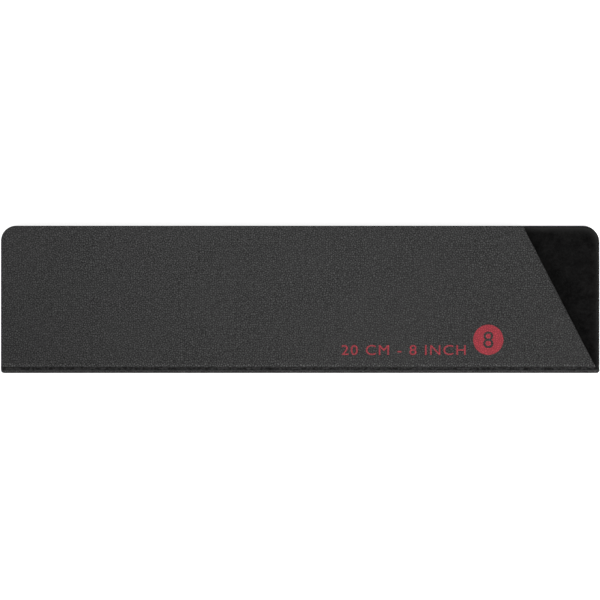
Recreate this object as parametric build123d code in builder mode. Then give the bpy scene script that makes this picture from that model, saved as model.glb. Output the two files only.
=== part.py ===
from build123d import *
import os

# Knife blade guard, closed: a plastic cover folded along one long edge, with
# a flocked magnetic sheet bonded inside each panel. Lengths are millimetres.
# The guard lies on its back panel. X runs along it, towards the end where
# the knife goes in, the fold is at -Y, the open edge at +Y, and Z is up.
# The origin is under the middle of the closed guard.

# Outline of the closed guard
LENGTH = 218.0
WIDTH = 53.7

# Cover moulding
PANEL_WALL = 0.8
PANEL_EDGE_RADIUS = 0.3
BLIND_CORNER_RADIUS = 5.5
ENTRY_CORNER_RADIUS = 6.0

# Diagonal cut of the front panel, measured back from the entry end
CUT_AT_OPEN_EDGE = 28.0
CUT_AT_HINGE = 1.3
CUT_CORNER_RADIUS = 1.2

# Fold strip, between the two hinge grooves. Seen from above it is rounded at
# both ends, by this share of its width.
BEAD_WIDTH = 0.85
BEAD_EDGE_RADIUS = 0.5
BEAD_SHOULDER_RADIUS = 0.2
BEAD_END_SHARE = 0.85

# Hinge webs. The groove leaves GROOVE_CLEARANCE between its two shoulders,
# across and along, when its hinge has turned a quarter.
WEB_THICKNESS = 0.3
WEB_WIDTH = 0.5
GROOVE_CLEARANCE = 0.1

# Linings: adhesive film, magnet sheet and flock, from each panel inwards
ADHESIVE_FILM = 0.1
MAGNET_SHEET = 0.9
FLOCK_PILE = 0.5
BLADE_GAP = 0.4
LINING_INSET = 0.5
LINING_FROM_HINGE = 1.2
LINING_CORNER_RADIUS = 1.0
FLOCK_EDGE_RADIUS = 0.35

# Cuts run this far past the material
OVERRUN = 1.0

# Heights
LINING = ADHESIVE_FILM + MAGNET_SHEET + FLOCK_PILE
THICKNESS = 2 * (PANEL_WALL + LINING) + BLADE_GAP
GROOVE_DEPTH = PANEL_WALL - WEB_THICKNESS
FRONT_INNER_Z = THICKNESS - PANEL_WALL

# Places across the guard
FOLD_Y = -WIDTH / 2
OPEN_Y = WIDTH / 2
GROOVE_HALF_WIDTH = PANEL_WALL - WEB_THICKNESS / 2 + GROOVE_CLEARANCE
HINGE_Y = FOLD_Y + BEAD_WIDTH + GROOVE_HALF_WIDTH
STRIP_INNER_Y = HINGE_Y - WEB_WIDTH / 2
PANEL_HINGE_Y = HINGE_Y + WEB_WIDTH / 2
STRIP_WIDTH = STRIP_INNER_Y - FOLD_Y
PANEL_WIDTH = OPEN_Y - PANEL_HINGE_Y
BEAD_END_RADIUS = BEAD_END_SHARE * STRIP_WIDTH

# Places along the guard
BLIND_X = -LENGTH / 2
ENTRY_X = LENGTH / 2
CUT_OPEN_X = ENTRY_X - CUT_AT_OPEN_EDGE
CUT_TIP_X = ENTRY_X - CUT_AT_HINGE


def back_sides():
    """The back panel in plan, before its corners are rounded."""
    with Locations((0, (PANEL_HINGE_Y + OPEN_Y) / 2)):
        Rectangle(LENGTH, PANEL_WIDTH)


def front_sides():
    """The front panel in plan, cut off diagonally, before its corners are rounded."""
    with BuildLine() as outline:
        Polyline(
            (BLIND_X, PANEL_HINGE_Y),
            (CUT_TIP_X, PANEL_HINGE_Y),
            (CUT_OPEN_X, OPEN_Y),
            (BLIND_X, OPEN_Y),
            close=True,
        )
    make_face(outline.edges())


def round_open_corners(blind_radius, entry_radius):
    """Rounds the two corners on the open edge."""
    fillet(vertices().group_by(Axis.Y)[-1].sort_by(Axis.X)[0], radius=blind_radius)
    fillet(vertices().group_by(Axis.Y)[-1].sort_by(Axis.X)[-1], radius=entry_radius)


def lining_outline(panel_sides, entry_radius):
    """A lining in plan: its panel drawn in all round, and further at the hinge."""
    panel_sides()
    offset(amount=-LINING_INSET, kind=Kind.INTERSECTION)
    with Locations((0, PANEL_HINGE_Y + LINING_FROM_HINGE / 2)):
        Rectangle(LENGTH, LINING_FROM_HINGE, mode=Mode.SUBTRACT)
    round_open_corners(BLIND_CORNER_RADIUS - LINING_INSET, entry_radius - LINING_INSET)
    fillet(vertices().group_by(Axis.Y)[0], radius=LINING_CORNER_RADIUS)


def back_lining():
    lining_outline(back_sides, ENTRY_CORNER_RADIUS)


def front_lining():
    lining_outline(front_sides, CUT_CORNER_RADIUS)


def groove_outline(outer_z, outward):
    """The groove's section at one hinge, open at the cover's outer face."""
    floor_z = outer_z - outward * GROOVE_DEPTH
    over_z = outer_z + outward * OVERRUN
    with BuildLine() as outline:
        Polyline(
            (HINGE_Y - WEB_WIDTH / 2, floor_z),
            (HINGE_Y + WEB_WIDTH / 2, floor_z),
            (HINGE_Y + GROOVE_HALF_WIDTH, outer_z),
            (HINGE_Y + GROOVE_HALF_WIDTH, over_z),
            (HINGE_Y - GROOVE_HALF_WIDTH, over_z),
            (HINGE_Y - GROOVE_HALF_WIDTH, outer_z),
            close=True,
        )
    make_face(outline.edges())


def cut_groove(outer_z, outward):
    """Cuts one hinge groove along the whole piece."""
    with BuildSketch(Plane.YZ.offset(BLIND_X - OVERRUN)) as groove:
        groove_outline(outer_z, outward)
    extrude(groove.sketch, amount=LENGTH + 2 * OVERRUN, mode=Mode.SUBTRACT)


# Cover: back panel, lying on its outer face
with BuildPart() as back_panel:
    with BuildSketch(Plane.XY):
        back_sides()
        round_open_corners(BLIND_CORNER_RADIUS, ENTRY_CORNER_RADIUS)
    extrude(amount=PANEL_WALL)
    cut_groove(0, -1)
    fillet(faces().sort_by(Axis.Z)[0].edges(), radius=PANEL_EDGE_RADIUS)
back_panel.part.label = "back_panel"

# Cover: front panel
with BuildPart() as front_panel:
    with BuildSketch(Plane.XY.offset(FRONT_INNER_Z)):
        front_sides()
        round_open_corners(BLIND_CORNER_RADIUS, CUT_CORNER_RADIUS)
    extrude(amount=PANEL_WALL)
    cut_groove(THICKNESS, 1)
    fillet(faces().sort_by(Axis.Z)[-1].edges(), radius=PANEL_EDGE_RADIUS)
front_panel.part.label = "front_panel"

# Cover: fold strip, which the blade's edge rests against
with BuildPart() as fold_strip:
    with BuildSketch(Plane.XY):
        with Locations((0, (FOLD_Y + STRIP_INNER_Y) / 2)):
            Rectangle(LENGTH, STRIP_WIDTH)
        fillet(vertices().group_by(Axis.Y)[0], radius=BEAD_END_RADIUS)
    extrude(amount=THICKNESS)
    outer_faces = faces().filter_by(Axis.Z)
    inner_edges = edges().group_by(Axis.Y)[-1]
    fillet(outer_faces.edges() - inner_edges, radius=BEAD_EDGE_RADIUS)
    cut_groove(0, -1)
    cut_groove(THICKNESS, 1)
    shoulders = faces().filter_by(Axis.Z).edges().group_by(Axis.Y)[-1]
    fillet(shoulders, radius=BEAD_SHOULDER_RADIUS)
fold_strip.part.label = "fold_strip"

# Cover: hinge webs, at the inner side of the wall
with BuildPart() as back_hinge_web:
    with BuildSketch(Plane.XY.offset(GROOVE_DEPTH)):
        with Locations((0, HINGE_Y)):
            Rectangle(LENGTH, WEB_WIDTH)
    extrude(amount=WEB_THICKNESS)
back_hinge_web.part.label = "back_hinge_web"

with BuildPart() as front_hinge_web:
    with BuildSketch(Plane.XY.offset(FRONT_INNER_Z)):
        with Locations(((BLIND_X + CUT_TIP_X) / 2, HINGE_Y)):
            Rectangle(CUT_TIP_X - BLIND_X, WEB_WIDTH)
    extrude(amount=WEB_THICKNESS)
front_hinge_web.part.label = "front_hinge_web"

# Linings of the back panel, from the panel up
with BuildPart() as back_adhesive_film:
    with BuildSketch(Plane.XY.offset(PANEL_WALL)):
        back_lining()
    extrude(amount=ADHESIVE_FILM)
back_adhesive_film.part.label = "back_adhesive_film"

with BuildPart() as back_magnet_sheet:
    with BuildSketch(Plane.XY.offset(PANEL_WALL + ADHESIVE_FILM)):
        back_lining()
    extrude(amount=MAGNET_SHEET)
back_magnet_sheet.part.label = "back_magnet_sheet"

with BuildPart() as back_flock_lining:
    with BuildSketch(Plane.XY.offset(PANEL_WALL + ADHESIVE_FILM + MAGNET_SHEET)):
        back_lining()
    extrude(amount=FLOCK_PILE)
    fillet(faces().sort_by(Axis.Z)[-1].edges(), radius=FLOCK_EDGE_RADIUS)
back_flock_lining.part.label = "back_flock_lining"

# Linings of the front panel, from the panel down
with BuildPart() as front_adhesive_film:
    with BuildSketch(Plane.XY.offset(FRONT_INNER_Z - ADHESIVE_FILM)):
        front_lining()
    extrude(amount=ADHESIVE_FILM)
front_adhesive_film.part.label = "front_adhesive_film"

with BuildPart() as front_magnet_sheet:
    with BuildSketch(Plane.XY.offset(FRONT_INNER_Z - ADHESIVE_FILM - MAGNET_SHEET)):
        front_lining()
    extrude(amount=MAGNET_SHEET)
front_magnet_sheet.part.label = "front_magnet_sheet"

with BuildPart() as front_flock_lining:
    with BuildSketch(Plane.XY.offset(FRONT_INNER_Z - LINING)):
        front_lining()
    extrude(amount=FLOCK_PILE)
    fillet(faces().sort_by(Axis.Z)[0].edges(), radius=FLOCK_EDGE_RADIUS)
front_flock_lining.part.label = "front_flock_lining"

os.makedirs("parts", exist_ok=True)
export_step(back_panel.part, "parts/back_panel.step")
export_step(front_panel.part, "parts/front_panel.step")
export_step(fold_strip.part, "parts/fold_strip.step")
export_step(back_hinge_web.part, "parts/back_hinge_web.step")
export_step(front_hinge_web.part, "parts/front_hinge_web.step")
export_step(back_adhesive_film.part, "parts/back_adhesive_film.step")
export_step(back_magnet_sheet.part, "parts/back_magnet_sheet.step")
export_step(back_flock_lining.part, "parts/back_flock_lining.step")
export_step(front_adhesive_film.part, "parts/front_adhesive_film.step")
export_step(front_magnet_sheet.part, "parts/front_magnet_sheet.step")
export_step(front_flock_lining.part, "parts/front_flock_lining.step")

print("hinge axes run along X at y", HINGE_Y)
print("back hinge axis at z", GROOVE_DEPTH + WEB_THICKNESS / 2)
print("front hinge axis at z", FRONT_INNER_Z + WEB_THICKNESS / 2)
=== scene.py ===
import math

import bmesh
import bpy
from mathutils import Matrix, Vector


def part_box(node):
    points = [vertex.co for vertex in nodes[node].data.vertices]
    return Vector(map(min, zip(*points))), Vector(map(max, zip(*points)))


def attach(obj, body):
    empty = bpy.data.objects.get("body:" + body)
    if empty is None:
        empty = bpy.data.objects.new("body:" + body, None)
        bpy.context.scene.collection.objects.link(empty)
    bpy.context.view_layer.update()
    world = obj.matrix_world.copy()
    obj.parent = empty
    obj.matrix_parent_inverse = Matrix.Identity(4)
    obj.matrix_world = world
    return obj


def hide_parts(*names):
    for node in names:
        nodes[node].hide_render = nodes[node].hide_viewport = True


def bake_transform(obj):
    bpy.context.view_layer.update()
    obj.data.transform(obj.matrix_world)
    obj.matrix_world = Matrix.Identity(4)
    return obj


MM = 0.001

# Photograph's frame: where the guard's middle is, and the scale at its front face
PHOTO_PX = 600
MIDDLE_PX = (300.3, 299.4)
MM_PER_PX = 0.3641
CAMERA_HEIGHT = 4000 * MM
SENSOR_MM = 36.0

# Studio: the sky's strength, and the floor's own glow, which keeps it white round the guard
SKY_LIGHT = 0.562
FLOOR_GLOW = 0.6
FLOOR_HALF = 6.0

# Linings in plan, as the cover's own sizes give them
LINING_INSET = 0.5 * MM
BLIND_CORNER_RADIUS = 5.5 * MM
ENTRY_CORNER_RADIUS = 6.0 * MM
CUT_CORNER_RADIUS = 1.2 * MM
LINING_CORNER_RADIUS = 1.0 * MM
CUT_AT_OPEN_EDGE = 28.0 * MM
CUT_AT_HINGE = 1.3 * MM

# Flock pile: the coat is the closed mass of fibres, and the loose tips stand on it. Its
# rolled rim gets a painted sheen: RIM_FOOT where it is bonded, 1 at the top, 0 beyond RIM_FADE.
COAT_HEIGHT_SHARE = 0.84
RIM_ROLL = 0.3 * MM
RIM_STEPS = 6
RIM_FOOT = 0.3
RIM_FADE = 2.6 * MM
RIM_FADE_POWER = 1.6
FADE_STEPS = 7
ARC_STEPS = 14
LEAST_RADIUS = 0.02 * MM
FIBRE_LENGTH = 0.22 * MM
SHORTEST_FIBRE = 0.6
FIBRE_RADIUS = 0.034 * MM
FIBRE_TILT = math.radians(38)
FIBRES_PER_SQUARE_MM = 4.3

# Flock's darkest and lightest grey, its rim's painted sheen, and how far inside the open
# edge that sheen begins to grow and is full
COAT_TONES = (0.0001, 0.0068)
TIP_TONES = (0.0002, 0.0106)
RIM_SHEEN_TONE = 0.0165
SHEEN_BEGINS = 8 * MM
SHEEN_IS_FULL = 1 * MM

# Hinge webs
WEB_ACROSS = 10
WEB_ALONG = 48

# Cover's grain: how far apart its pebbles are, how far their rows wander, the lowest
# pebble's share of full height, that height, and how deep the outer faces count as grained
GRAIN_PERIOD = 0.78 * MM
GRAIN_WANDER = 0.16 * MM
LOWEST_PEBBLE = 0.68
GRAIN_DEPTH = 0.05 * MM
SKIN = 0.15 * MM

# Bands along the fold, painted shade in the grooves and a painted highlight on the
# shoulders, each as its offset from the hinge axes towards the open edge, half the width
# of its core, and the fade beside it. Their edges wander, and they reach BAND_DEPTH into
# the grooves.
GROOVE_SHADE_BAND = (0.05 * MM, 0.3 * MM, 0.36 * MM)
SHOULDER_HIGHLIGHT_BAND = (1.3 * MM, 0.25 * MM, 0.35 * MM)
BAND_WANDER = 0.22 * MM
BAND_DEPTH = 0.6 * MM
BAND_FADE = 0.1 * MM

# Cover's greys, several of them painted: shade in the pits, on the inner faces, on rounded
# edges and in the grooves, and a highlight on the shoulders. Edge tones are blotched.
PIT_SHADE_TONE = 0.0025
PEBBLE_TONE = 0.0555
CLOUD_TONE = 0.034
INNER_SHADE_TONE = 0.016
SHOULDER_HIGHLIGHT_TONE = 0.086
GROOVE_SHADE_TONE = 0.024
PANEL_EDGE_SHADE_TONES = (0.012, 0.028)
BEAD_EDGE_SHADE_TONES = (0.044, 0.064)
COVER_GLOSS = 0.19

# Print on the front panel: the size in words, and a disc with a numeral left bare, whose
# height is NUMERAL_SHARE of the disc's radius. Its colours are in the grain's pits, on the
# pebbles and where it is worn.
INK_HEIGHT = 0.01 * MM
INK_SINK = 0.02 * MM
WORDS = "20 CM - 8 INCH"
WORDS_BOX_PX = (341.6, 345.0, 465.7, 355.0)
LETTER_SPACING = 1.15
DISC_CENTRE_PX = (488.3, 339.8)
DISC_RADIUS = 5.5 * MM
DISC_STEPS = 96
NUMERAL = "8"
NUMERAL_SHARE = 1.1
INK_IN_PITS = (0.18, 0.014, 0.022, 1)
INK_ON_PEBBLES = (0.36, 0.032, 0.046, 1)
INK_WORN = (0.18, 0.022, 0.026, 1)


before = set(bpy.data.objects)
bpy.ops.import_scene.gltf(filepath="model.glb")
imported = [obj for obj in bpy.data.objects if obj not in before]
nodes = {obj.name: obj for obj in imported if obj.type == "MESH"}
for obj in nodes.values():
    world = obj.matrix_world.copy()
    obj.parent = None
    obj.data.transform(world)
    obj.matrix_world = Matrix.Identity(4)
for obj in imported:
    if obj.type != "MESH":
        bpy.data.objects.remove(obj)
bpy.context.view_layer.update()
front_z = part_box("front_panel")[1].z


def photo_point(px, py):
    """The place on the front face that the photograph shows at this pixel."""
    x = (px - MIDDLE_PX[0]) * MM_PER_PX * MM
    y = (MIDDLE_PX[1] - py) * MM_PER_PX * MM
    return x, y


# Camera and stage


def make_camera():
    camera = bpy.data.objects.new("camera", bpy.data.cameras.new("camera"))
    bpy.context.scene.collection.objects.link(camera)
    x, y = photo_point(PHOTO_PX / 2, PHOTO_PX / 2)
    camera.location = (x, y, front_z + CAMERA_HEIGHT)
    camera.data.sensor_width = SENSOR_MM
    camera.data.lens = SENSOR_MM * CAMERA_HEIGHT / (PHOTO_PX * MM_PER_PX * MM)
    camera.data.clip_start = 0.1
    camera.data.clip_end = 20
    bpy.context.scene.camera = camera


def area_light(name, place, size, power, aim=(0, 0, 0), spread=180):
    """A softbox aimed at a point. A small spread, in degrees, is a grid that narrows its beam."""
    light = bpy.data.objects.new(name, bpy.data.lights.new(name, "AREA"))
    bpy.context.scene.collection.objects.link(light)
    light.location = place
    light.rotation_mode = "QUATERNION"
    light.rotation_quaternion = (Vector(aim) - Vector(place)).to_track_quat("-Z", "Y")
    light.data.shape = "RECTANGLE"
    light.data.size, light.data.size_y = size
    light.data.energy = power
    light.data.spread = math.radians(spread)


def make_light():
    """An even sky and three softboxes. The gridded one gives the guard's left end less light."""
    world = bpy.data.worlds.new("studio")
    world.use_nodes = True
    background = world.node_tree.nodes["Background"]
    background.inputs["Color"].default_value = (1, 1, 1, 1)
    background.inputs["Strength"].default_value = SKY_LIGHT
    bpy.context.scene.world = world
    area_light(
        "softbox_right",
        place=(0.95, -0.65, 1.0),
        size=(0.74, 0.74),
        power=0.953,
        aim=(0.37, 0.03, 0),
        spread=7.3,
    )
    area_light("softbox_left", place=(-1.6, -0.9, 1.6), size=(0.7, 0.7), power=22)
    area_light("softbox_back", place=(-0.1, 1.1, 1.2), size=(0.9, 0.6), power=3)
    bpy.context.scene.view_settings.view_transform = "Standard"


# Materials


class Shader:
    """A material's node tree, with short ways to add a node and join it up."""

    def __init__(self, name):
        self.material = bpy.data.materials.new(name)
        self.material.use_nodes = True
        self.tree = self.material.node_tree
        self.surface = self.tree.nodes["Principled BSDF"]
        self.coordinates = self.add("ShaderNodeTexCoord").outputs["Object"]

    def add(self, kind, inputs=None, **settings):
        made = self.tree.nodes.new(kind)
        for name, value in settings.items():
            setattr(made, name, value)
        for name, value in (inputs or {}).items():
            self.put(made.inputs[name], value)
        return made

    def put(self, socket, value):
        if isinstance(value, bpy.types.NodeSocket):
            self.tree.links.new(value, socket)
        else:
            socket.default_value = value

    def set(self, **values):
        """Sets or joins the surface's own sockets, named with _ for a space."""
        for name, value in values.items():
            self.put(self.surface.inputs[name.replace("_", " ")], value)

    def noise(self, period, detail=2.0, roughness=0.5):
        """Noise from 0 to 1 whose blotches are about this wide."""
        sizes = {"Scale": 1 / period, "Detail": detail, "Roughness": roughness}
        made = self.add("ShaderNodeTexNoise", sizes)
        self.tree.links.new(self.coordinates, made.inputs["Vector"])
        return made.outputs["Fac"]

    def split(self, vector):
        return self.add("ShaderNodeSeparateXYZ", {"Vector": vector}).outputs

    def pebbles(self, period, wander, least):
        """Packed grains this far apart: 0 in the creases between them, rising inwards to a
        height of their own, least for the lowest. Their rows wander by up to this much.
        The pattern lies in X and Y on flat faces and in X and Z on the fold's side."""
        place = self.split(self.coordinates)
        across = self.math("ADD", place["Y"], place["Z"])
        shifts = [
            self.spread(self.noise(length, roughness=0.6), 0.3, 0.7, -wander, wander)
            for length in (1.4 * period, 2.0 * period)
        ]
        along = self.math("ADD", place["X"], shifts[0])
        across = self.math("ADD", across, shifts[1])
        flat = self.add("ShaderNodeCombineXYZ", {"X": along, "Y": across}).outputs["Vector"]
        inputs = {"Vector": flat, "Scale": 1 / period, "Randomness": 0.95}
        kind = "ShaderNodeTexVoronoi"
        inwards = self.add(kind, inputs, voronoi_dimensions="2D", feature="DISTANCE_TO_EDGE")
        chance = self.add(kind, inputs, voronoi_dimensions="2D", feature="F1")
        height = self.spread(self.split(chance.outputs["Color"])["X"], 0.0, 1.0, least, 1.0)
        return self.math("MULTIPLY", inwards.outputs["Distance"], height)

    def spread(self, value, low, high, to_low=0.0, to_high=1.0):
        """The value, brought from one range to another."""
        names = ("From Min", "From Max", "To Min", "To Max")
        inputs = dict(zip(names, (low, high, to_low, to_high)))
        inputs["Value"] = value
        return self.add("ShaderNodeMapRange", inputs).outputs["Result"]

    def math(self, operation, a, b=0.0):
        made = self.add("ShaderNodeMath", operation=operation)
        self.put(made.inputs[0], a)
        self.put(made.inputs[1], b)
        return made.outputs["Value"]

    def mix(self, share, a, b):
        """A colour between two, by share."""
        made = self.add("ShaderNodeMix", data_type="RGBA")
        self.put(made.inputs["Factor"], share)
        self.put(made.inputs["A"], a)
        self.put(made.inputs["B"], b)
        return made.outputs["Result"]

    def attribute(self, name):
        return self.add("ShaderNodeAttribute", attribute_name=name).outputs["Fac"]

    def level(self):
        """1 on the guard's flat faces, 0 on its upright sides, between on rounded edges."""
        normal = self.add("ShaderNodeTexCoord").outputs["Normal"]
        return self.math("ABSOLUTE", self.split(normal)["Z"])

    def near_outside(self, depth, fade):
        """1 within this depth of the guard's two large outer faces, 0 further in."""
        off = self.math("SUBTRACT", self.split(self.coordinates)["Z"], front_z / 2)
        surface = front_z / 2 - depth
        return self.spread(self.math("ABSOLUTE", off), surface - fade, surface)

    def band(self, offset, core, fade):
        """1 along the guard at this distance from the hinge axes, 0 on either side and on
        the inner faces."""
        low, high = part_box("front_hinge_web")
        middle = (low.y + high.y) / 2 + offset
        off = self.math("SUBTRACT", self.split(self.coordinates)["Y"], middle)
        wave = self.noise(1.5 * MM, detail=3.0, roughness=0.6)
        off = self.math("ADD", off, self.spread(wave, 0.35, 0.65, -BAND_WANDER, BAND_WANDER))
        share = self.spread(self.math("ABSOLUTE", off), core, core + fade, 1.0, 0.0)
        return self.math("MULTIPLY", share, self.near_outside(BAND_DEPTH, BAND_FADE))

    def bump(self, height, depth):
        made = self.add("ShaderNodeBump", {"Height": height, "Distance": depth})
        self.set(Normal=made.outputs["Normal"])


def grey(value, warmth=0.0):
    return (value * (1 + warmth), value, value * (1 - warmth), 1)


def pebble_grain(shader):
    """The moulded grain: 1 on top of each pebble, 0 in the pits between."""
    return shader.spread(shader.pebbles(GRAIN_PERIOD, GRAIN_WANDER, LOWEST_PEBBLE), 0.02, 0.33)


def outer_side(shader):
    """1 on the cover's outer faces, which are grained, and 0 on its smooth inner ones."""
    fold_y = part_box("fold_strip")[0].y
    y = shader.split(shader.coordinates)["Y"]
    fold = shader.spread(y, fold_y + 2 * SKIN, fold_y + SKIN)
    return shader.math("MAXIMUM", shader.near_outside(SKIN, SKIN), fold)


def painted_groove_shade(shader):
    """Painted shade for the bottom of a hinge groove: near black and blotched."""
    blotches = shader.noise(0.8 * MM, roughness=0.6)
    return shader.mix(shader.spread(blotches, 0.42, 0.6), grey(0.0), grey(GROOVE_SHADE_TONE))


def rounded_edge(shader):
    """1 on the cover's rounded edges, 0 on its flat faces and its upright sides."""
    level = shader.level()
    off_flat = shader.spread(level, 0.98, 0.85)
    off_upright = shader.spread(level, 0.05, 0.2)
    return shader.math("MULTIPLY", off_flat, off_upright)


def cover_plastic(name, edge_shade_tones):
    """Charcoal polypropylene: pebble grain outside, smooth inside and in the grooves, with
    painted shade and highlights.
    """
    shader = Shader(name)
    cloud = shader.noise(14 * MM, detail=4.0)
    mottle = shader.spread(shader.noise(0.55 * MM, detail=1.0), 0.3, 0.7)
    grain = pebble_grain(shader)
    outer = outer_side(shader)
    raised = shader.math("MULTIPLY", grain, outer)
    shader.bump(raised, GRAIN_DEPTH)
    relief = shader.math("ADD", grain, shader.math("MULTIPLY", mottle, 0.7))
    # Partly the grain's own tone, partly painted shade in the pits between the pebbles
    tone = shader.mix(shader.spread(relief, 0.165, 1.5), grey(PIT_SHADE_TONE), grey(PEBBLE_TONE))
    tone = shader.mix(shader.spread(cloud, 0.35, 0.7, 0.0, 0.2), tone, grey(CLOUD_TONE))
    # Painted shade: the smooth inner faces are darker, for the shade between the panels
    tone = shader.mix(outer, grey(INNER_SHADE_TONE), tone)
    # Painted shade on the rounded edges, in blotches
    painted_light_share = shader.spread(shader.noise(1.6 * MM, detail=3.0), 0.35, 0.65)
    painted_edge_shade = shader.mix(painted_light_share, grey(edge_shade_tones[0]), grey(edge_shade_tones[1]))
    edge = shader.math("MULTIPLY", rounded_edge(shader), 0.85)
    tone = shader.mix(edge, tone, painted_edge_shade)
    # Painted highlight along the shoulders beside the grooves, strongest on the pebble tops
    lit = shader.spread(grain, 0.3, 1.0, 0.0, 0.8)
    shoulder = shader.math("MULTIPLY", shader.band(*SHOULDER_HIGHLIGHT_BAND), lit)
    tone = shader.mix(shoulder, tone, grey(SHOULDER_HIGHLIGHT_TONE))
    # Painted shade along the hinge grooves
    tone = shader.mix(shader.band(*GROOVE_SHADE_BAND), tone, painted_groove_shade(shader))
    shader.set(Base_Color=tone, Roughness=shader.spread(raised, 0, 1, 0.68, 0.54))
    shader.surface.inputs["Specular IOR Level"].default_value = COVER_GLOSS
    return shader.material


def web_plastic():
    """The cover's plastic in a hinge web: smooth, coloured with the groove's painted shade, the
    same bent or flat.
    """
    shader = Shader("web_plastic")
    fine = shader.noise(0.2 * MM)
    shader.bump(fine, 0.004 * MM)
    shine = shader.spread(fine, 0.3, 0.7, 0.52, 0.62)
    shader.set(Base_Color=painted_groove_shade(shader), Roughness=shine)
    shader.surface.inputs["Specular IOR Level"].default_value = COVER_GLOSS
    return shader.material


def flock(name, darkest, lightest):
    """Black velvet pile: nearly no gloss, brushed patches, and a painted sheen along the rim,
    stronger towards the open edge.
    """
    shader = Shader(name)
    nap = shader.noise(5.0 * MM, detail=6.0, roughness=0.7)
    tufts = shader.noise(0.9 * MM, detail=4.0, roughness=0.75)
    patches = shader.spread(nap, 0.37, 0.63, 0, 0.55)
    share = shader.math("ADD", patches, shader.spread(tufts, 0.4, 0.62, 0, 0.45))
    colour = shader.mix(share, grey(darkest, 0.01), grey(lightest, 0.01))
    open_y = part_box("back_flock_lining")[1].y
    y = shader.split(shader.coordinates)["Y"]
    # Painted sheen along the rim, growing towards the open edge
    painted_light_share = shader.spread(y, open_y - SHEEN_BEGINS, open_y - SHEEN_IS_FULL, 0.4, 1.0)
    rim = shader.math("MULTIPLY", shader.attribute("rim"), painted_light_share)
    colour = shader.mix(rim, colour, grey(RIM_SHEEN_TONE, 0.01))
    shader.bump(tufts, 0.08 * MM)
    shader.set(Base_Color=colour, Roughness=0.95)
    shader.surface.inputs["Specular IOR Level"].default_value = 0.05
    shader.surface.inputs["Sheen Weight"].default_value = 0.03
    shader.surface.inputs["Sheen Roughness"].default_value = 0.6
    return shader.material


def magnet_rubber():
    """Ferrite-filled rubber sheet: dull brown-black, with a sawn look at its edges."""
    shader = Shader("magnet_rubber")
    powder = shader.noise(0.12 * MM, detail=3.0)
    cloud = shader.noise(6 * MM)
    colour = shader.mix(powder, grey(0.016, 0.10), grey(0.030, 0.12))
    colour = shader.mix(shader.spread(cloud, 0.3, 0.7, 0.0, 0.3), colour, grey(0.036, 0.08))
    shader.bump(powder, 0.02 * MM)
    shader.set(Base_Color=colour, Roughness=shader.spread(powder, 0.2, 0.8, 0.6, 0.8))
    return shader.material


def adhesive():
    """Yellowish transfer adhesive, a thin dull line at the lining's edge."""
    shader = Shader("adhesive")
    flow = shader.noise(1.2 * MM)
    colour = shader.mix(flow, (0.11, 0.098, 0.074, 1), (0.19, 0.172, 0.135, 1))
    shader.bump(flow, 0.01 * MM)
    shader.set(Base_Color=colour, Roughness=shader.spread(flow, 0.3, 0.7, 0.25, 0.45))
    return shader.material


def print_ink():
    """Red screen-print ink, thin enough for the cover's grain to show through."""
    shader = Shader("print_ink")
    grain = pebble_grain(shader)
    wear = shader.noise(0.9 * MM, detail=3.0)
    colour = shader.mix(grain, INK_IN_PITS, INK_ON_PEBBLES)
    thin = shader.spread(wear, 0.62, 0.78, 0.0, 0.35)
    colour = shader.mix(thin, colour, INK_WORN)
    shader.bump(grain, 0.02 * MM)
    shader.set(Base_Color=colour, Roughness=0.5)
    shader.surface.inputs["Specular IOR Level"].default_value = 0.3
    return shader.material


def floor_paper():
    """White studio paper with a faint mottle and a glow of its own."""
    shader = Shader("floor_paper")
    fibre = shader.noise(30 * MM, detail=4.0)
    shader.set(Base_Color=shader.mix(fibre, grey(0.86), grey(0.89)), Roughness=0.9)
    shader.surface.inputs["Emission Color"].default_value = grey(1.0)
    shader.surface.inputs["Emission Strength"].default_value = FLOOR_GLOW
    return shader.material


# Mesh making


def mesh_object(name, points, faces, material, smooth=True):
    mesh = bpy.data.meshes.new(name)
    mesh.from_pydata(points, [], faces)
    mesh.materials.append(material)
    if smooth:
        mesh.shade_smooth()
    made = bpy.data.objects.new(name, mesh)
    bpy.context.scene.collection.objects.link(made)
    return made


def face_outwards(made):
    """Merges doubled points and turns every face outwards."""
    shape = bmesh.new()
    shape.from_mesh(made.data)
    bmesh.ops.remove_doubles(shape, verts=shape.verts, dist=0.0005 * MM)
    bmesh.ops.recalc_face_normals(shape, faces=shape.faces)
    shape.to_mesh(made.data)
    shape.free()


def rounded_outline(corners, radii, inset):
    """Points round a convex outline, counterclockwise, drawn in by inset."""
    points = []
    count = len(corners)
    for i, corner in enumerate(corners):
        before = (corner - corners[i - 1]).normalized()
        after = (corners[(i + 1) % count] - corner).normalized()
        turn = math.acos(max(-1.0, min(1.0, before.dot(after))))
        inwards = (after - before).normalized()
        radius = max(radii[i] - inset, LEAST_RADIUS)
        centre = corner + inwards * ((radius + inset) / math.cos(turn / 2))
        first = math.atan2(-before.x, before.y)
        for step in range(ARC_STEPS + 1):
            angle = first + turn * step / ARC_STEPS
            points.append(centre + Vector((math.cos(angle), math.sin(angle))) * radius)
    return points


def back_lining_corners():
    low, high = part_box("back_magnet_sheet")
    corners = [
        Vector((low.x, low.y)),
        Vector((high.x, low.y)),
        Vector((high.x, high.y)),
        Vector((low.x, high.y)),
    ]
    radii = [
        LINING_CORNER_RADIUS,
        LINING_CORNER_RADIUS,
        ENTRY_CORNER_RADIUS - LINING_INSET,
        BLIND_CORNER_RADIUS - LINING_INSET,
    ]
    return corners, radii


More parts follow.
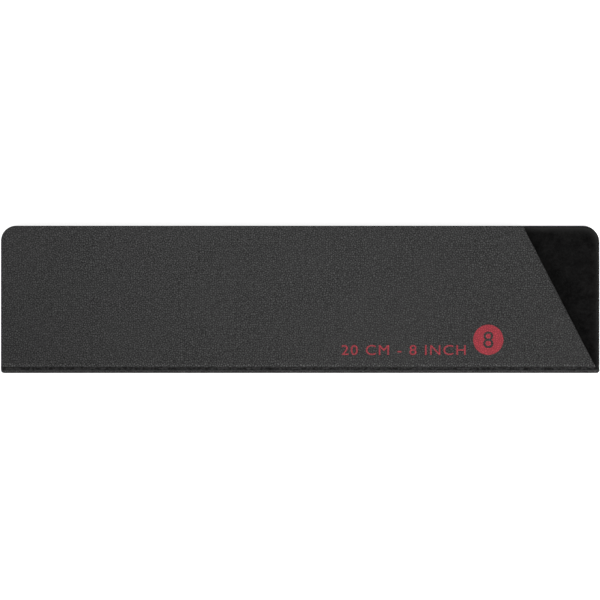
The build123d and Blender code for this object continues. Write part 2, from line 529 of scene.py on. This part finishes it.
def front_lining_corners():
    """As the back lining, but with its entry end drawn in from the diagonal cut."""
    panel_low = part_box("front_panel")[0]
    back_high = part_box("back_panel")[1]
    low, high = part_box("front_magnet_sheet")
    tip = Vector((back_high.x - CUT_AT_HINGE, panel_low.y))
    top = Vector((back_high.x - CUT_AT_OPEN_EDGE, back_high.y))
    along = (top - tip).normalized()
    start = tip + Vector((-along.y, along.x)) * LINING_INSET

    def cut_at(y):
        return Vector((start.x + along.x * (y - start.y) / along.y, y))

    corners = [Vector((low.x, low.y)), cut_at(low.y), cut_at(high.y), Vector((low.x, high.y))]
    radii = [
        LINING_CORNER_RADIUS,
        LINING_CORNER_RADIUS,
        CUT_CORNER_RADIUS - LINING_INSET,
        BLIND_CORNER_RADIUS - LINING_INSET,
    ]
    return corners, radii


def coat_rings(base_z, pile_z):
    """Inset, height and rim share of each ring, from the bonded face over the rim."""
    top_z = base_z + (pile_z - base_z) * COAT_HEIGHT_SHARE
    roll = math.copysign(RIM_ROLL, pile_z - base_z)
    rings = [(0.0, base_z, RIM_FOOT)]
    for step in range(RIM_STEPS + 1):
        angle = math.pi / 2 * step / RIM_STEPS
        inset = RIM_ROLL * (1 - math.cos(angle))
        rim = RIM_FOOT + (1 - RIM_FOOT) * math.sin(angle)
        rings.append((inset, top_z - roll * (1 - math.sin(angle)), rim))
    for step in range(1, FADE_STEPS + 1):
        share = step / FADE_STEPS
        inset = RIM_ROLL + (RIM_FADE - RIM_ROLL) * share
        rings.append((inset, top_z, (1 - share) ** RIM_FADE_POWER))
    return rings


def flock_coat(name, node, corners, radii, outward, material):
    """The closed pile: rings from the bonded face up the rim and in, then one flat middle."""
    low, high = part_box(node)
    base_z, pile_z = (low.z, high.z) if outward > 0 else (high.z, low.z)
    points = []
    rims = []
    rings = coat_rings(base_z, pile_z)
    for inset, z, rim in rings:
        for point in rounded_outline(corners, radii, inset):
            points.append((point.x, point.y, z))
            rims.append(rim)
    count = len(points) // len(rings)
    faces = [list(range(count))]
    for ring in range(len(rings) - 1):
        for i in range(count):
            j = (i + 1) % count
            a, b = ring * count, (ring + 1) * count
            faces.append([a + i, a + j, b + j, b + i])
    faces.append([(len(rings) - 1) * count + i for i in range(count)])
    made = mesh_object(name, points, faces, material)
    # The rim share sets where the flock's painted sheen lies
    made.data.attributes.new("rim", "FLOAT", "POINT").data.foreach_set("value", rims)
    face_outwards(made)
    return made


def fibre_tree(material):
    """Geometry Nodes: loose fibre tips, scattered on a surface and leaning each its own way."""
    tree = bpy.data.node_groups.new("flock_fibres", "GeometryNodeTree")
    floats = ("Density", "Length", "Radius", "Tilt")
    tree.interface.new_socket("Geometry", in_out="INPUT", socket_type="NodeSocketGeometry")
    for name in floats:
        tree.interface.new_socket(name, in_out="INPUT", socket_type="NodeSocketFloat")
    tree.interface.new_socket("Seed", in_out="INPUT", socket_type="NodeSocketInt")
    tree.interface.new_socket("Geometry", in_out="OUTPUT", socket_type="NodeSocketGeometry")
    new, join = tree.nodes.new, tree.links.new
    given = new("NodeGroupInput").outputs
    scatter = new("GeometryNodeDistributePointsOnFaces")
    join(given["Geometry"], scatter.inputs["Mesh"])
    join(given["Density"], scatter.inputs["Density"])
    join(given["Seed"], scatter.inputs["Seed"])
    fibre = new("GeometryNodeMeshCone")
    fibre.fill_type = "NGON"
    fibre.inputs["Vertices"].default_value = 3
    fibre.inputs["Radius Top"].default_value = 0
    join(given["Radius"], fibre.inputs["Radius Bottom"])
    join(given["Length"], fibre.inputs["Depth"])
    lean = new("FunctionNodeRandomValue")
    lean.data_type = "FLOAT_VECTOR"
    least = new("ShaderNodeCombineXYZ")
    most = new("ShaderNodeCombineXYZ")
    negative = new("ShaderNodeMath")
    negative.operation = "MULTIPLY"
    negative.inputs[1].default_value = -1
    join(given["Tilt"], negative.inputs[0])
    for axis in ("X", "Y"):
        join(negative.outputs["Value"], least.inputs[axis])
        join(given["Tilt"], most.inputs[axis])
    join(least.outputs["Vector"], lean.inputs["Min"])
    join(most.outputs["Vector"], lean.inputs["Max"])
    join(given["Seed"], lean.inputs["Seed"])
    turned = new("FunctionNodeRotateRotation")
    turned.rotation_space = "LOCAL"
    join(scatter.outputs["Rotation"], turned.inputs["Rotation"])
    join(lean.outputs["Value"], turned.inputs["Rotate By"])
    length = new("FunctionNodeRandomValue")
    length.data_type = "FLOAT"
    length.inputs[2].default_value = SHORTEST_FIBRE
    length.inputs[3].default_value = 1.0
    join(given["Seed"], length.inputs["Seed"])
    place = new("GeometryNodeInstanceOnPoints")
    join(scatter.outputs["Points"], place.inputs["Points"])
    join(fibre.outputs["Mesh"], place.inputs["Instance"])
    join(turned.outputs["Rotation"], place.inputs["Rotation"])
    join(length.outputs[1], place.inputs["Scale"])
    whole = new("GeometryNodeRealizeInstances")
    join(place.outputs["Instances"], whole.inputs["Geometry"])
    finish = new("GeometryNodeSetMaterial")
    finish.inputs["Material"].default_value = material
    join(whole.outputs["Geometry"], finish.inputs["Geometry"])
    join(finish.outputs["Geometry"], new("NodeGroupOutput").inputs["Geometry"])
    return tree


def flock_fibres(name, coat, outward, tree, seed):
    """The fibre tips of one coat, on all but its bonded face, as a plain mesh."""
    ground = coat.copy()
    ground.data = coat.data.copy()
    shape = bmesh.new()
    shape.from_mesh(ground.data)
    buried = [f for f in shape.faces if f.normal.z * outward < -0.5]
    bmesh.ops.delete(shape, geom=buried, context="FACES")
    shape.to_mesh(ground.data)
    shape.free()
    bpy.context.scene.collection.objects.link(ground)
    modifier = ground.modifiers.new("fibres", "NODES")
    modifier.node_group = tree
    values = {
        "Density": FIBRES_PER_SQUARE_MM / MM**2,
        "Length": FIBRE_LENGTH,
        "Radius": FIBRE_RADIUS,
        "Tilt": FIBRE_TILT,
        "Seed": seed,
    }
    for socket in tree.interface.items_tree:
        if socket.in_out == "INPUT" and socket.name in values:
            modifier[socket.identifier] = values[socket.name]
    seen = ground.evaluated_get(bpy.context.evaluated_depsgraph_get())
    mesh = bpy.data.meshes.new_from_object(seen)
    mesh.name = name
    made = bpy.data.objects.new(name, mesh)
    bpy.context.scene.collection.objects.link(made)
    bpy.data.objects.remove(ground)
    return made


def hinge_web(node, material):
    """A web's finer mesh, with rows enough across it to bend."""
    low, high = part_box(node)
    points = []
    for i in range(WEB_ALONG + 1):
        x = low.x + (high.x - low.x) * i / WEB_ALONG
        for j in range(WEB_ACROSS + 1):
            points.append((x, low.y + (high.y - low.y) * j / WEB_ACROSS, low.z))
        for j in range(WEB_ACROSS, -1, -1):
            points.append((x, low.y + (high.y - low.y) * j / WEB_ACROSS, high.z))
    ring = 2 * (WEB_ACROSS + 1)
    faces = []
    for i in range(WEB_ALONG):
        for j in range(ring):
            k = (j + 1) % ring
            faces.append([i * ring + j, i * ring + k, (i + 1) * ring + k, (i + 1) * ring + j])
    for end in (0, WEB_ALONG):
        for j in range(WEB_ACROSS):
            a, b = end * ring + j, end * ring + ring - 1 - j
            faces.append([a, a + 1, b - 1, b])
    made = mesh_object(node + "_bent", points, faces, material, smooth=False)
    face_outwards(made)
    return made


# Pieces


def dress_cad_nodes(finishes):
    """Gives CAD nodes their materials."""
    for material, names in finishes:
        for name in names:
            slots = nodes[name].data.materials
            slots.clear()
            slots.append(material)


def bend_web(node, material):
    """Puts a finer web mesh in place of the CAD web, which it hides; it lies between two bodies.
    The fold strip is on its -Y side.
    """
    web = hinge_web(node, material)
    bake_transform(web)
    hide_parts(node)


def outline_area(points):
    """The area inside a closed outline."""
    pairs = zip(points, points[1:] + points[:1])
    return abs(sum(a.x * b.y - b.x * a.y for a, b in pairs)) / 2


def make_flock(side, corners, radii, outward, material, tree, seed):
    """One lining's coat and fibre tips. Outward is 1 where its pile stands up, -1 down."""
    node = side + "_flock_lining"
    coat = flock_coat(side + "_flock_coat", node, corners, radii, outward, material)
    tips = flock_fibres(side + "_flock_tips", coat, outward, tree, seed)
    for piece in (coat, tips):
        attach(piece, side)
    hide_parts(node)
    area = outline_area(rounded_outline(corners, radii, 0.0))


def glyph_outlines(name, words):
    """The outlines of some words, as a flat filled curve one unit tall."""
    text = bpy.data.objects.new(name, bpy.data.curves.new(name, "FONT"))
    text.data.body = words
    text.data.space_character = LETTER_SPACING
    bpy.context.scene.collection.objects.link(text)
    outlines = text.to_curve(bpy.context.evaluated_depsgraph_get()).copy()
    bpy.data.objects.remove(text)
    return outlines


def add_disc_round(outlines):
    """Adds a circle round a numeral, so that the numeral becomes a hole in a disc."""
    points = [p for spline in outlines.splines for p in spline.bezier_points]
    xs = [p.co.x for p in points]
    ys = [p.co.y for p in points]
    radius = (max(ys) - min(ys)) / NUMERAL_SHARE
    circle = outlines.splines.new("POLY")
    circle.points.add(DISC_STEPS - 1)
    for step, point in enumerate(circle.points):
        angle = 2 * math.pi * step / DISC_STEPS
        x = (min(xs) + max(xs)) / 2 + radius * math.cos(angle)
        point.co = (x, (min(ys) + max(ys)) / 2 + radius * math.sin(angle), 0, 1)
    circle.use_cyclic_u = True


def ink_piece(name, outlines, low, high, material):
    """Fills outlines with ink, fitted between two corners on the front face. They are
    extruded both ways, and then the top and bottom faces get the ink's own heights."""
    outlines.dimensions = "2D"
    outlines.fill_mode = "BOTH"
    outlines.extrude = 0.5
    drawn = bpy.data.objects.new(name, outlines)
    bpy.context.scene.collection.objects.link(drawn)
    seen = drawn.evaluated_get(bpy.context.evaluated_depsgraph_get())
    mesh = bpy.data.meshes.new_from_object(seen)
    bpy.data.objects.remove(drawn)
    xs = [v.co.x for v in mesh.vertices]
    ys = [v.co.y for v in mesh.vertices]
    across = (high[0] - low[0]) / (max(xs) - min(xs))
    up = (high[1] - low[1]) / (max(ys) - min(ys))
    for vertex in mesh.vertices:
        x, y, z = vertex.co
        level = front_z + (INK_HEIGHT if z > 0 else -INK_SINK)
        vertex.co = (low[0] + (x - min(xs)) * across, low[1] + (y - min(ys)) * up, level)
    mesh.materials.clear()
    mesh.materials.append(material)
    made = bpy.data.objects.new(name, mesh)
    bpy.context.scene.collection.objects.link(made)
    face_outwards(made)
    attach(made, "front")


def make_print(material):
    """The size in words and the disc, on the front panel."""
    left, top, right, bottom = WORDS_BOX_PX
    low, high = photo_point(left, bottom), photo_point(right, top)
    ink_piece("size_words", glyph_outlines("size_words", WORDS), low, high, material)
    numeral = glyph_outlines("size_disc", NUMERAL)
    add_disc_round(numeral)
    x, y = photo_point(*DISC_CENTRE_PX)
    low, high = (x - DISC_RADIUS, y - DISC_RADIUS), (x + DISC_RADIUS, y + DISC_RADIUS)
    ink_piece("size_disc", numeral, low, high, material)


def make_floor(material):
    half = FLOOR_HALF
    corners = [(-half, -half, 0), (half, -half, 0), (half, half, 0), (-half, half, 0)]
    mesh_object("floor", corners, [[0, 1, 2, 3]], material, smooth=False)


make_camera()
make_light()
make_floor(floor_paper())

dress_cad_nodes(
    [
        (cover_plastic("cover_plastic", PANEL_EDGE_SHADE_TONES), ["back_panel", "front_panel"]),
        # The bead's copy differs only in its painted edge shade
        (cover_plastic("bead_plastic", BEAD_EDGE_SHADE_TONES), ["fold_strip"]),
        (magnet_rubber(), ["back_magnet_sheet", "front_magnet_sheet"]),
        (adhesive(), ["back_adhesive_film", "front_adhesive_film"]),
    ]
)
web_material = web_plastic()
bend_web("back_hinge_web", web_material)
bend_web("front_hinge_web", web_material)
coat_material = flock("flock_coat", *COAT_TONES)
tip_material = flock("flock_tips", *TIP_TONES)
fibres = fibre_tree(tip_material)
make_flock("back", *back_lining_corners(), 1, coat_material, fibres, seed=3)
make_flock("front", *front_lining_corners(), -1, coat_material, fibres, seed=8)
make_print(print_ink())
